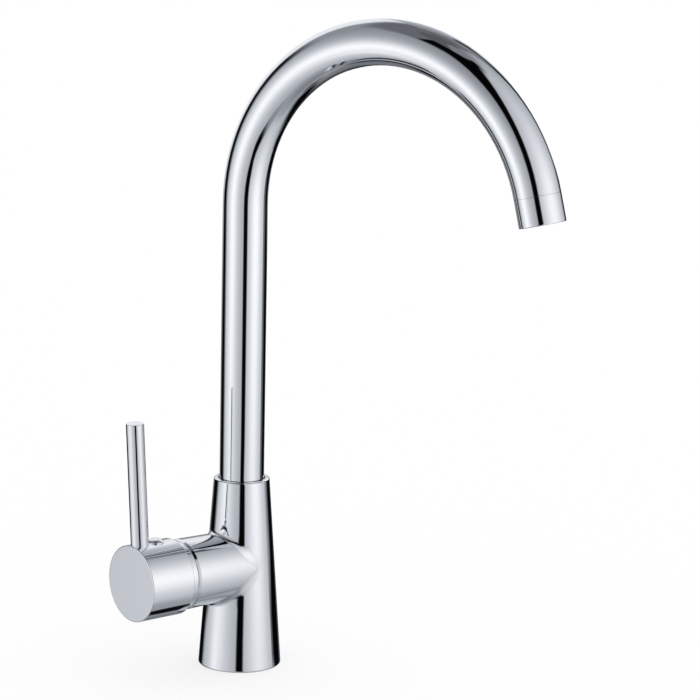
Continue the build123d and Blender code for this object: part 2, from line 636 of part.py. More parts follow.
GRUB_TOP = CAP_SEAT_UP - CAP_SHANK - CAP_SHANK_GAP
with BuildPart() as hub_grub_screw:
    with BuildSketch(SCREW_PLANE.offset(STEM_SIDE / 2)):
        Circle(GRUB_R - SEAT_FIT)
    extrude(amount=GRUB_TOP - STEM_SIDE / 2)
    with BuildSketch(SCREW_PLANE.offset(GRUB_TOP)):
        RegularPolygon(HEX_KEY / 2, 6, major_radius=False)
    extrude(amount=-HEX_DEPTH, mode=Mode.SUBTRACT)
hub_grub_screw.part.label = "hub_grub_screw"
export_step(hub_grub_screw.part, "parts/hub_grub_screw.step")

CAP_TOP = HUB_R + CAP_PROUD
CAP_DOME_R = (CAP_R**2 + CAP_RISE**2) / (2 * CAP_RISE)
with BuildPart() as screw_cap:
    with BuildSketch(Plane(origin=SCREW_PLANE.origin, x_dir=ARM_DIR, z_dir=-SIDEWAYS)):
        with BuildLine():
            Polyline(
                (0, HUB_R + CAP_PROUD),
                (0, CAP_SEAT_UP - CAP_SHANK),
                (GRUB_R - 2 * SEAT_FIT, CAP_SEAT_UP - CAP_SHANK),
                (GRUB_R - 2 * SEAT_FIT, CAP_SEAT_UP),
                (CAP_R, CAP_SEAT_UP),
                (CAP_R, CAP_TOP - CAP_RISE),
            )
            ThreePointArc(
                (CAP_R, CAP_TOP - CAP_RISE),
                (CAP_R / 2, CAP_TOP - CAP_DOME_R + sqrt(CAP_DOME_R**2 - CAP_R**2 / 4)),
                (0, CAP_TOP),
            )
        make_face()
    revolve(axis=Axis(SCREW_PLANE.origin, UP))
screw_cap.part.label = "screw_cap"
export_step(screw_cap.part, "parts/screw_cap.step")

# ---------------------------------------------------------------- spout swivel
CONNECTOR_R = SOCKET_R - RUNNING_FIT
with BuildPart() as swivel_connector:
    with BuildSketch(Plane.XY.offset(CONNECTOR_FOOT)):
        Circle(CONNECTOR_R)
    extrude(amount=CONNECTOR_HEIGHT)
    with BuildSketch(Plane.XY.offset(TUBE_FOOT)):
        Circle(TUBE_R - TUBE_WALL - SEAT_FIT)
    extrude(amount=CONNECTOR_SPIGOT)
    with BuildSketch(Plane.XY.offset(CONNECTOR_FOOT)):
        Circle(STUB_R)
    extrude(amount=-STUB_LENGTH)
    # bore above the web; the filtered water tube stands in the web's centre
    with BuildSketch(Plane.XY.offset(CONNECTOR_FOOT + CONNECTOR_WEB)):
        Circle(CONNECTOR_BORE_R)
    extrude(amount=CONNECTOR_HEIGHT + CONNECTOR_SPIGOT, mode=Mode.SUBTRACT)
    with BuildSketch(Plane.XY.offset(STUB_FOOT)):
        Circle(STUB_BORE_R)
    extrude(amount=STUB_LENGTH + CONNECTOR_WEB, mode=Mode.SUBTRACT)
    with BuildSketch(Plane.XY.offset(CONNECTOR_FOOT + CONNECTOR_WEB / 2)):
        Circle(FILTER_TUBE_R + SEAT_FIT)
    extrude(amount=CONNECTOR_WEB, mode=Mode.SUBTRACT)
    with BuildSketch(Plane.XY.offset(CONNECTOR_FOOT)):
        with PolarLocations((FILTER_TUBE_R + CONNECTOR_BORE_R) / 2, WEB_HOLES):
            Circle(WEB_HOLE_R)
    extrude(amount=CONNECTOR_WEB, mode=Mode.SUBTRACT)
    # grooves for the O-rings, the locking screw and the stub's ring
    for height in O_RING_HEIGHTS:
        with BuildSketch(Plane.XY.offset(height - O_RING_GROOVE / 2)):
            Circle(CONNECTOR_R + CUT_PAST)
            Circle(CONNECTOR_R - O_RING_SECTION, mode=Mode.SUBTRACT)
        extrude(amount=O_RING_GROOVE, mode=Mode.SUBTRACT)
    with BuildSketch(Plane.XY.offset(LOCK_HEIGHT - LOCK_GROOVE_WIDTH / 2)):
        Circle(CONNECTOR_R + CUT_PAST)
        Circle(CONNECTOR_R - LOCK_GROOVE_DEPTH, mode=Mode.SUBTRACT)
    extrude(amount=LOCK_GROOVE_WIDTH, mode=Mode.SUBTRACT)
    with BuildSketch(Plane.XY.offset(STUB_RING_HEIGHT - STUB_RING_GROOVE / 2)):
        Circle(STUB_R + CUT_PAST)
        Circle(STUB_R - STUB_RING_DEPTH, mode=Mode.SUBTRACT)
    extrude(amount=STUB_RING_GROOVE, mode=Mode.SUBTRACT)
swivel_connector.part.label = "swivel_connector"
export_step(swivel_connector.part, "parts/swivel_connector.step")

O_RING_R = (O_RING_SECTION - 2 * SEAT_FIT) / 2
with BuildPart() as connector_o_rings:
    for height in O_RING_HEIGHTS:
        with BuildSketch(Plane.XZ):
            with Locations((CONNECTOR_R - SEAT_FIT - O_RING_R, height)):
                Circle(O_RING_R)
        revolve(axis=Axis.Z)
connector_o_rings.part.label = "connector_o_rings"
export_step(connector_o_rings.part, "parts/connector_o_rings.step")

with BuildPart() as filtered_stub_o_ring:
    with BuildSketch(Plane.XZ):
        with Locations((STUB_R - STUB_RING_DEPTH / 2, STUB_RING_HEIGHT)):
            Circle(STUB_RING_DEPTH / 2 - SEAT_FIT)
    revolve(axis=Axis.Z)
filtered_stub_o_ring.part.label = "filtered_stub_o_ring"
export_step(filtered_stub_o_ring.part, "parts/filtered_stub_o_ring.step")

# ---------------------------------------------------------------- swan-neck tubes
with BuildPart() as spout_tube:
    with BuildLine(Plane.XZ) as neck_path:
        Line((0, TUBE_FOOT), (0, ARCH_START))
        CenterArc((ARCH_R, ARCH_START), ARCH_R, 180, -ARCH_TURN)
    with BuildSketch(Plane.XY.offset(TUBE_FOOT)):
        Circle(TUBE_R)
        Circle(TUBE_R - TUBE_WALL, mode=Mode.SUBTRACT)
    sweep(path=neck_path.wires()[0])
spout_tube.part.label = "spout_tube"
export_step(spout_tube.part, "parts/spout_tube.step")

FILTER_FOOT = CONNECTOR_FOOT + CONNECTOR_WEB / 2
FILTER_END = FERRULE_SHOULDER
with BuildPart() as filtered_water_tube:
    with BuildLine(Plane.XZ) as filter_path:
        Line((0, FILTER_FOOT), (0, ARCH_START))
        CenterArc((ARCH_R, ARCH_START), ARCH_R, 180, -ARCH_TURN)
    with BuildSketch(Plane.XY.offset(FILTER_FOOT)):
        Circle(FILTER_TUBE_R)
        Circle(FILTER_TUBE_R - FILTER_TUBE_WALL, mode=Mode.SUBTRACT)
    sweep(path=filter_path.wires()[0])
    with BuildSketch(OUTLET):
        Circle(FILTER_TUBE_R)
        Circle(FILTER_TUBE_R - FILTER_TUBE_WALL, mode=Mode.SUBTRACT)
    extrude(amount=FILTER_END)
filtered_water_tube.part.label = "filtered_water_tube"
export_step(filtered_water_tube.part, "parts/filtered_water_tube.step")

# ---------------------------------------------------------------- outlet
SPIGOT_R = TUBE_R - TUBE_WALL - SPIGOT_FIT
with BuildPart() as outlet_ferrule:
    with BuildSketch(OUTLET):
        Circle(TUBE_R)
    extrude(amount=FERRULE_LENGTH)
    fillet(outlet_ferrule.edges().sort_by(Axis(OUTLET.origin, OUTLET.z_dir))[-1], FERRULE_EDGE)
    with BuildSketch(OUTLET):
        Circle(SPIGOT_R)
    extrude(amount=-FERRULE_SPIGOT)
    with BuildSketch(OUTLET.offset(-FERRULE_SPIGOT)):
        Circle(AERATOR_R - AERATOR_SHELF)
    extrude(amount=FERRULE_SPIGOT + FERRULE_LENGTH, mode=Mode.SUBTRACT)
    with BuildSketch(OUTLET.offset(FERRULE_SHOULDER)):
        Circle(AERATOR_R)
    extrude(amount=FERRULE_LENGTH, mode=Mode.SUBTRACT)
outlet_ferrule.part.label = "outlet_ferrule"
export_step(outlet_ferrule.part, "parts/outlet_ferrule.step")

WASHER_END = FERRULE_SHOULDER + WASHER_THICKNESS
AERATOR_END = FERRULE_LENGTH - AERATOR_RECESS
AERATOR_BORE_R = AERATOR_R - AERATOR_WALL
INSERT_START = AERATOR_END - INSERT_SUNK - INSERT_THICKNESS
with BuildPart() as aerator_washer:
    with BuildSketch(OUTLET.offset(FERRULE_SHOULDER)):
        Circle(AERATOR_R - SEAT_FIT)
        Circle(AERATOR_BORE_R - AERATOR_SHELF, mode=Mode.SUBTRACT)
    extrude(amount=WASHER_THICKNESS)
aerator_washer.part.label = "aerator_washer"
export_step(aerator_washer.part, "parts/aerator_washer.step")

with BuildPart() as aerator_housing:
    with BuildSketch(OUTLET.offset(WASHER_END)):
        Circle(AERATOR_R - SEAT_FIT)
        Circle(AERATOR_BORE_R, mode=Mode.SUBTRACT)
    extrude(amount=AERATOR_END - WASHER_END)
    with BuildSketch(OUTLET.offset(INSERT_START + INSERT_THICKNESS)):
        Circle(AERATOR_BORE_R)
        Circle(AERATOR_BORE_R - AERATOR_LIP, mode=Mode.SUBTRACT)
    extrude(amount=AERATOR_END - INSERT_START - INSERT_THICKNESS)
aerator_housing.part.label = "aerator_housing"
export_step(aerator_housing.part, "parts/aerator_housing.step")

with BuildPart() as aerator_insert:
    with BuildSketch(OUTLET.offset(INSERT_START)):
        Circle(AERATOR_BORE_R - SEAT_FIT)
        Circle(NOZZLE_R + SEAT_FIT, mode=Mode.SUBTRACT)
        with PolarLocations(INSERT_INNER_RING, INSERT_INNER_HOLES):
            Circle(INSERT_HOLE_R, mode=Mode.SUBTRACT)
        with PolarLocations(INSERT_OUTER_RING, INSERT_OUTER_HOLES):
            Circle(INSERT_HOLE_R, mode=Mode.SUBTRACT)
    extrude(amount=INSERT_THICKNESS)
aerator_insert.part.label = "aerator_insert"
export_step(aerator_insert.part, "parts/aerator_insert.step")

with BuildPart() as filtered_outlet_nozzle:
    with BuildSketch(OUTLET.offset(FILTER_END - NOZZLE_SEAT + NOZZLE_SHOULDER)):
        Circle(FILTER_TUBE_R + NOZZLE_SLEEVE_WALL)
    extrude(amount=NOZZLE_SEAT)
    with BuildSketch(OUTLET.offset(FILTER_END)):
        Circle(NOZZLE_R)
    extrude(amount=AERATOR_END - NOZZLE_RECESS - FILTER_END)
    with BuildSketch(OUTLET.offset(INSERT_START)):
        Circle(NOZZLE_R + NOZZLE_COLLAR_WALL)
    extrude(amount=-NOZZLE_COLLAR)
    with BuildSketch(OUTLET.offset(FILTER_END - NOZZLE_SEAT)):
        Circle(NOZZLE_BORE_R)
    extrude(amount=FERRULE_LENGTH + NOZZLE_SEAT, mode=Mode.SUBTRACT)
    with BuildSketch(OUTLET.offset(FILTER_END)):
        Circle(FILTER_TUBE_R + SEAT_FIT)
    extrude(amount=-NOZZLE_SEAT, mode=Mode.SUBTRACT)
filtered_outlet_nozzle.part.label = "filtered_outlet_nozzle"
export_step(filtered_outlet_nozzle.part, "parts/filtered_outlet_nozzle.step")
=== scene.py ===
"""Finishes, small forms and studio for the three way filtered water tap.

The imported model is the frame: its nodes keep their shape and place, and get their finish here.
Lengths are in metres. Angles are in radians, and in degrees for the camera and the light tent.
"""

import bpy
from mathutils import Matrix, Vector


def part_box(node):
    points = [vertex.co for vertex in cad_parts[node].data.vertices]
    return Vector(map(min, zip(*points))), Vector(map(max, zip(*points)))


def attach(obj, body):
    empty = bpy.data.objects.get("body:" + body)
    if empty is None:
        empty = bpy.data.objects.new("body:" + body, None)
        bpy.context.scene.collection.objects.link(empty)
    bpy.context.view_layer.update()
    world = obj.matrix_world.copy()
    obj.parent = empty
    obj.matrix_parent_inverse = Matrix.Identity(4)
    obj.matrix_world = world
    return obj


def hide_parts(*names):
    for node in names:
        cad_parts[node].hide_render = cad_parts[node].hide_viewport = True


bl_info = {
    "name": "Three way filtered water tap",
    "version": (1, 0, 0),
    "blender": (4, 5, 0),
    "location": "3D View > Sidebar > Water Tap",
    "description": "Finishes a packed kitchen tap and sets up its studio",
    "category": "Object",
}

from math import cos, pi, radians, sin

import bpy
from mathutils import Matrix, Vector

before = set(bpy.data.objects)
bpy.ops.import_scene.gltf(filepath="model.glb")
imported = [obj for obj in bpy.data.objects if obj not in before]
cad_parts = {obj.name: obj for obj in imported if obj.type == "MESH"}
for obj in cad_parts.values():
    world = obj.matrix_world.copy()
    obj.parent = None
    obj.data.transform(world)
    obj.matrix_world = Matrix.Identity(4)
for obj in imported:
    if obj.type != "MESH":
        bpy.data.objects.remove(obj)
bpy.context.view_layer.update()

MM = 0.001


# ------------------------------------------------------------------ shader maths
class Wire:
    """A shader socket. Python arithmetic on it adds Math nodes to its tree."""

    def __init__(self, shader, socket):
        self.shader = shader
        self.socket = socket

    def maths(self, operation, *values):
        """One Math node on these values."""
        return self.shader.add("Math", {"operation": operation}, dict(enumerate(values)))

    def __add__(self, other):
        return self.maths("ADD", self, other)

    __radd__ = __add__

    def __sub__(self, other):
        return self.maths("SUBTRACT", self, other)

    def __rsub__(self, other):
        return self.maths("SUBTRACT", other, self)

    def __mul__(self, other):
        return self.maths("MULTIPLY", self, other)

    __rmul__ = __mul__

    def __truediv__(self, other):
        return self.maths("DIVIDE", self, other)

    def __rtruediv__(self, other):
        return self.maths("DIVIDE", other, self)

    def __pow__(self, other):
        return self.maths("POWER", self, other)

    def __abs__(self):
        return self.maths("ABSOLUTE", self)

    def highest(self, other):
        """The larger of the two."""
        return self.maths("MAXIMUM", self, other)

    def rise(self, low, high):
        """0 below low, 1 above high, smooth between."""
        inputs = {"Value": self, "From Min": low, "From Max": high}
        return self.shader.add("MapRange", {"interpolation_type": "SMOOTHSTEP"}, inputs)

    def fall(self, low, high):
        """1 below low, 0 above high, smooth between."""
        return 1.0 - self.rise(low, high)


class Shader:
    """A node tree being written: nodes come from add, numbers from Wire arithmetic."""

    def __init__(self, owner):
        owner.use_nodes = True
        self.tree = owner.node_tree
        self.tree.nodes.clear()

    def add(self, kind, settings=None, inputs=None, output=0):
        """Adds a node, sets its settings first and then its sockets, and returns one output."""
        node = self.tree.nodes.new("ShaderNode" + kind)
        for name, value in (settings or {}).items():
            setattr(node, name, value)
        for name, value in (inputs or {}).items():
            if isinstance(value, Wire):
                self.tree.links.new(value.socket, node.inputs[name])
            else:
                node.inputs[name].default_value = value
        return Wire(self, node.outputs[output]) if node.outputs else node

    def place(self):
        """Object coordinates as a vector and its three numbers."""
        vector = self.add("TexCoord", output="Object")
        parts = self.add("SeparateXYZ", None, {"Vector": vector}).socket.node
        return vector, *(Wire(self, parts.outputs[axis]) for axis in "XYZ")

    def noise(self, vector, scale, detail=2.0, roughness=0.5):
        """Fractal noise between 0 and 1."""
        inputs = {"Vector": vector, "Scale": scale, "Detail": detail, "Roughness": roughness}
        return self.add("TexNoise", None, inputs)

    def blend(self, factor, first, second):
        """A colour between first and second."""
        inputs = {"Factor": factor, 6: first, 7: second}
        return self.add("Mix", {"data_type": "RGBA"}, inputs, output=2)

    def bump(self, height, distance):
        """A normal tilted by a height between 0 and 1, which stands for that distance."""
        return self.add("Bump", None, {"Height": height, "Distance": distance})

    def surface(self, **sockets):
        """A Principled BSDF to the output. Words in a socket's name are joined by underscores."""
        inputs = {name.replace("_", " "): value for name, value in sockets.items()}
        shader = self.add("BsdfPrincipled", None, inputs)
        self.add("OutputMaterial", None, {"Surface": shader})
        return shader


def opaque(colour):
    """A colour with full alpha, for a colour socket."""
    return (*colour[:3], 1.0)


def darker(colour, share):
    """A colour with this share of its light."""
    return opaque([channel * share for channel in colour])


def over(value, under, mask):
    """The value where the mask is 1, and what lies under it where the mask is 0."""
    return under + (value - under) * mask


def new_material(name):
    """A material and the writer of its nodes."""
    material = bpy.data.materials.new(name)
    return material, Shader(material)


# ------------------------------------------------------------------ finishes
# noises: scale, detail and roughness
HAZE = (45.0, 4.0, 0.6)
GRIT = (700.0, 3.0, 0.65)
DRIFT = (60.0, 3.0, 0.6)

# the casting turns from chrome to bare brass across the wall of its hollow foot, at the foot's
# rim and past the end of its deepest hole
BARE_ACROSS = (20.2 * MM, 20.9 * MM)
BARE_FROM = (-1.0 * MM, 0.6 * MM)
BARE_UP_TO = (29.5 * MM, 30.5 * MM)
GRIT_DEPTH = 0.05 * MM


def plated_roughness(haze):
    """The chrome's roughness, a little more or less with its haze."""
    return bpy.context.scene.tap_finish.chrome_roughness * (0.7 + 0.6 * haze)


def polished_chrome():
    """Mirror chrome with the faintest polishing haze."""
    material, shader = new_material("polished_chrome")
    vector, *_ = shader.place()
    shader.surface(
        Base_Color=opaque(bpy.context.scene.tap_finish.chrome_colour),
        Metallic=1.0,
        Roughness=plated_roughness(shader.noise(vector, *HAZE)),
    )
    return material


def tap_casting():
    """The body: chrome outside, bare cast brass in the hollow of its foot and in its ports."""
    finish = bpy.context.scene.tap_finish
    material, shader = new_material("tap_casting")
    vector, x, y, z = shader.place()
    haze = shader.noise(vector, *HAZE)
    grit = shader.noise(vector, *GRIT)
    radius = (x * x + y * y) ** 0.5
    bare = radius.fall(*BARE_ACROSS) * z.rise(*BARE_FROM) * z.fall(*BARE_UP_TO)
    brass = shader.blend(haze, opaque(finish.brass_colour), darker(finish.brass_colour, 0.8))
    shader.surface(
        Base_Color=shader.blend(bare, opaque(finish.chrome_colour), brass),
        Metallic=1.0,
        Roughness=over(0.3 + 0.2 * grit, plated_roughness(haze), bare),
        Normal=shader.bump(grit * bare, GRIT_DEPTH),
    )
    return material


def plain_finish(name, colour, roughness, metallic=0.0, grain=900.0, depth=0.02 * MM):
    """A moulded or machined surface: slow change in its colour, grain of this scale and depth."""
    material, shader = new_material(name)
    vector, *_ = shader.place()
    drift = shader.noise(vector, *DRIFT)
    shader.surface(
        Base_Color=shader.blend(drift, opaque(colour), darker(colour, 0.88)),
        Metallic=metallic,
        Roughness=roughness * (0.85 + 0.3 * drift),
        Normal=shader.bump(shader.noise(vector, grain), depth),
    )
    return material


# ------------------------------------------------------------------ properties
def colour_property(name, description, default):
    """A colour with its three channels between 0 and 1."""
    return bpy.props.FloatVectorProperty(
        name=name, description=description, subtype="COLOR", default=default, min=0.0, max=1.0
    )


class TapFinish(bpy.types.PropertyGroup):
    """Colours and roughness of the tap's finishes."""

    chrome_colour: colour_property("Chrome", "Colour of the chrome plate", (0.885, 0.905, 0.925))
    brass_colour: colour_property("Brass", "Colour of bare machined brass", (0.78, 0.62, 0.32))
    steel_colour: colour_property("Steel", "Colour of the plain screws and pin", (0.55, 0.55, 0.56))
    rubber_colour: colour_property("Rubber", "Colour of seals and washers", (0.03, 0.03, 0.03))
    acetal_colour: colour_property("Acetal", "Colour of the glide rings", (0.09, 0.09, 0.1))
    cartridge_colour: colour_property(
        "Cartridge", "Colour of the cartridge's plastic", (0.75, 0.75, 0.73)
    )
    ceramic_colour: colour_property("Ceramic", "Colour of the cartridge discs", (0.92, 0.91, 0.88))
    tube_colour: colour_property(
        "Inner tube", "Colour of the filtered water tube", (0.88, 0.88, 0.86)
    )
    aerator_colour: colour_property("Aerator", "Colour of the aerator's plastic", (0.8, 0.81, 0.8))
    chrome_roughness: bpy.props.FloatProperty(
        name="Chrome roughness", description="Mean roughness of the chrome plate", default=0.025,
        min=0.0, max=1.0,
    )


def length_property(name, description, default):
    """A length, in metres."""
    return bpy.props.FloatProperty(
        name=name, description=description, default=default, unit="LENGTH"
    )


class TapSizes(bpy.types.PropertyGroup):
    """Sizes of the small forms that are modelled here."""

    joint_width: length_property("Joint width", "Width of the line above the ferrule", 0.13 * MM)
    blend_tight: length_property(
        "Tight blend", "Width of the hollow above and below the arm", 4.8 * MM
    )
    blend_soft: length_property("Soft blend", "Width of the hollow at the arm's flanks", 8.5 * MM)
    seal_channel: length_property(
        "Seal channel", "Depth of the channel under the base seal", 0.6 * MM
    )
    port_pitch: length_property("Port pitch", "Thread pitch in the supply ports", 1.0 * MM)
    stud_pitch: length_property("Stud pitch", "Thread pitch in the stud hole", 1.25 * MM)
    cell_size: length_property("Cell size", "Width of one cell of the aerator's grid", 1.2 * MM)
    cell_wall: length_property("Cell wall", "Wall between the aerator's cells", 0.3 * MM)


class TapStudio(bpy.types.PropertyGroup):
    """Size and place of the light tent round the tap."""

    tent_radius: bpy.props.FloatProperty(
        name="Tent radius", description="Radius of the light tent", default=0.69, unit="LENGTH"
    )
    tent_centre: bpy.props.FloatVectorProperty(
        name="Tent centre", description="Centre of the light tent", default=(0.09, -0.02, 0.23),
        subtype="TRANSLATION", unit="LENGTH",
    )


# ------------------------------------------------------------------ operators
def dress(material, *names):
    """Gives CAD nodes their finish."""
    for name in names:
        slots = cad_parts[name].data.materials
        slots.clear()
        slots.append(material)


class TAP_OT_finish_chrome(bpy.types.Operator):
    """Plate the body, spout, hub, lever, cover and cap"""

    bl_idname = "tap.finish_chrome"
    bl_label = "Chrome parts"

    def execute(self, context):
        dress(tap_casting(), "tap_body")
        dress(
            polished_chrome(), "spout_tube", "outlet_ferrule", "dome_cover", "handle_hub",
            "lever_rod", "screw_cap",
        )
        return {"FINISHED"}


class TAP_OT_finish_inner_parts(bpy.types.Operator):
    """Give the metal, rubber, plastic and ceramic inner parts their finishes"""

    bl_idname = "tap.finish_inner_parts"
    bl_label = "Inner parts"

    def execute(self, context):
        finish = context.scene.tap_finish
        brass = plain_finish("bare_brass", finish.brass_colour, 0.3, metallic=1.0, grain=1500.0)
        dress(brass, "cartridge_nut", "swivel_connector", "cartridge_stem")
        steel = plain_finish("plain_steel", finish.steel_colour, 0.36, metallic=1.0, grain=1200.0)
        dress(steel, "spout_locking_screw", "pivot_pin", "hub_grub_screw")
        rubber = plain_finish(
            "black_rubber", finish.rubber_colour, 0.62, grain=1100.0, depth=0.04 * MM
        )
        dress(
            rubber, "base_seal_ring", "cartridge_seals", "connector_o_rings",
            "filtered_stub_o_ring", "aerator_washer",
        )
        acetal = plain_finish("grey_acetal", finish.acetal_colour, 0.4)
        dress(acetal, "lower_glide_ring", "upper_glide_bush")
        moulded = plain_finish("cartridge_plastic", finish.cartridge_colour, 0.42)
        dress(moulded, "cartridge_base", "cartridge_housing", "stem_carrier", "disc_coupling")
        ceramic = plain_finish(
            "white_ceramic", finish.ceramic_colour, 0.16, grain=2500.0, depth=0.005 * MM
        )
        dress(ceramic, "fixed_ceramic_disc", "moving_ceramic_disc")
        tube = plain_finish("white_tube", finish.tube_colour, 0.28, grain=500.0)
        dress(tube, "filtered_water_tube")
        aerator = plain_finish(
            "aerator_plastic", finish.aerator_colour, 0.32, grain=700.0, depth=0.01 * MM
        )
        dress(aerator, "aerator_housing", "aerator_insert", "filtered_outlet_nozzle")
        return {"FINISHED"}


# ------------------------------------------------------------------ modelling
SMOOTH_UP_TO = radians(35.0)


def deselect():
    """Leaves edit mode, with nothing selected."""
    if bpy.context.object and bpy.context.object.mode != "OBJECT":
        bpy.ops.object.mode_set(mode="OBJECT")
    bpy.ops.object.select_all(action="DESELECT")


def choose(piece):
    """Makes this object the only selected one."""
    deselect()
    piece.select_set(True)
    bpy.context.view_layer.objects.active = piece


def edit_all(piece, kind):
    """Enters edit mode with everything selected, in this kind of selection."""
    choose(piece)
    bpy.ops.object.mode_set(mode="EDIT")
    bpy.ops.mesh.select_mode(type=kind)
    bpy.ops.mesh.select_all(action="SELECT")


def pick(piece, test):
    """Enters edit mode with those faces selected whose normal passes the test."""
    edit_all(piece, "FACE")
    bpy.ops.mesh.select_all(action="DESELECT")
    bpy.ops.object.mode_set(mode="OBJECT")
    for face in piece.data.polygons:
        face.select = test(face.normal)
    bpy.ops.object.mode_set(mode="EDIT")


def modify(piece, kind, **settings):
    """Adds a modifier and applies it."""
    choose(piece)
    modifier = piece.modifiers.new(kind.lower(), kind)
    for name, value in settings.items():
        setattr(modifier, name, value)
    bpy.ops.object.modifier_apply(modifier=modifier.name)


def start_ring(name, outer, inner, depth, place=(0.0, 0.0, 0.0), turn=0.0, sides=128):
    """A flat ring turned about Y: a cylinder whose end faces are inset and bridged."""
    deselect()
    bpy.ops.mesh.primitive_cylinder_add(
        vertices=sides, radius=outer, depth=depth, location=place, rotation=(0.0, turn, 0.0)
    )
    ring = bpy.context.object
    ring.name = name
    pick(ring, lambda normal: abs(normal.z) > 0.9)
    bpy.ops.mesh.inset(thickness=outer - inner, use_individual=True)
    bpy.ops.mesh.bridge_edge_loops()
    bpy.ops.object.mode_set(mode="OBJECT")
    return ring


def hand_over(piece, body, slot, *nodes):
    """Finishes a piece: at the origin, smooth, in its finish, on its body, for these nodes."""
    choose(piece)
    bpy.ops.object.transform_apply(location=True, rotation=True, scale=True)
    bpy.ops.object.shade_smooth_by_angle(angle=SMOOTH_UP_TO)
    piece.data.name = piece.name
    piece.data.materials.clear()
    piece.data.materials.append(bpy.data.materials[slot])
    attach(piece, body)
    if nodes:
        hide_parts(*nodes)


# the spout's bend, where its tube ends, and the direction in which the water leaves
ARCH_RADIUS = 107.4 * MM
ARCH_START = 294.9 * MM
ARCH_TURN = radians(165.7)
FLOW = Vector((sin(ARCH_TURN), 0.0, cos(ARCH_TURN)))
TUBE_END = Vector(
    (ARCH_RADIUS * (1.0 - cos(ARCH_TURN)), 0.0, ARCH_START + ARCH_RADIUS * sin(ARCH_TURN))
)
TUBE_RADIUS = 14.0 * MM


class TAP_OT_model_ferrule_joint(bpy.types.Operator):
    """Model the fine joint line between the spout tube and its ferrule"""

    bl_idname = "tap.model_ferrule_joint"
    bl_label = "Ferrule joint"

    proud = 0.03 * MM
    sunk = 0.2 * MM
    rounding = 0.03 * MM

    def execute(self, context):
        ring = start_ring(
            "ferrule_joint_ring", TUBE_RADIUS + self.proud, TUBE_RADIUS - self.sunk,
            context.scene.tap_sizes.joint_width, TUBE_END, ARCH_TURN, sides=192,
        )
        modify(ring, "BEVEL", width=self.rounding, segments=2)
        hand_over(ring, "spout", "black_rubber")
        return {"FINISHED"}


class TAP_OT_model_base_seal(bpy.types.Operator):
    """Model the base seal with a channel between its two lips"""

    bl_idname = "tap.model_base_seal"
    bl_label = "Base seal"

    wall = 2.28 * MM
    rounding = 0.2 * MM
    lip = 0.45 * MM
    channel_side = 0.12 * MM

    def execute(self, context):
        low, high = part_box("base_seal_ring")
        outer, height = high[0], high[2] - low[2]
        middle = (0.0, 0.0, 0.5 * (low[2] + high[2]))
        seal = start_ring("lipped_base_seal", outer, outer - self.wall, height, middle)
        modify(seal, "BEVEL", width=self.rounding, segments=3)
        pick(seal, lambda normal: normal.z < -0.999)
        bpy.ops.mesh.inset(thickness=self.lip)
        depth = context.scene.tap_sizes.seal_channel
        bpy.ops.mesh.inset(thickness=self.channel_side, depth=-depth)
        bpy.ops.object.mode_set(mode="OBJECT")
        hand_over(seal, "tap", "black_rubber", "base_seal_ring")
        return {"FINISHED"}


# the body's cone and the arm that leaves it, as the model has them
FOOT_RADIUS = 26.15 * MM
RIM_RADIUS = 17.5 * MM
BODY_HEIGHT = 120.7 * MM
ARM_HEIGHT = 64.9 * MM
ARM_RADIUS = 22.2 * MM
ARM_RUN = 46.9 * MM
ARM_INSET = 0.2 * MM
ARM_AZIMUTH = radians(-105.2)
UP = Vector((0.0, 0.0, 1.0))
ALONG_ARM = Vector((cos(ARM_AZIMUTH), sin(ARM_AZIMUTH), 0.0))
ACROSS_ARM = UP.cross(ALONG_ARM)


class TaperedWall:
    """A cone's wall: its axis, its radius at the start and how fast that grows."""

    def __init__(self, start, axis, radius, growth):
        self.start, self.axis, self.radius, self.growth = start, axis, radius, growth
        self.lean = 1.0 / (1.0 + growth * growth) ** 0.5

    def radius_at(self, run):
        """The wall's radius this far along its axis."""
        return self.radius + self.growth * run

    def measure(self, point):
        """How far a point stands off the wall, and the wall's normal there."""
        reach = point - self.start
        run = reach.dot(self.axis)
        out = reach - run * self.axis
        normal = (out.normalized() - self.growth * self.axis).normalized()
        return (out.length - self.radius_at(run)) * self.lean, normal


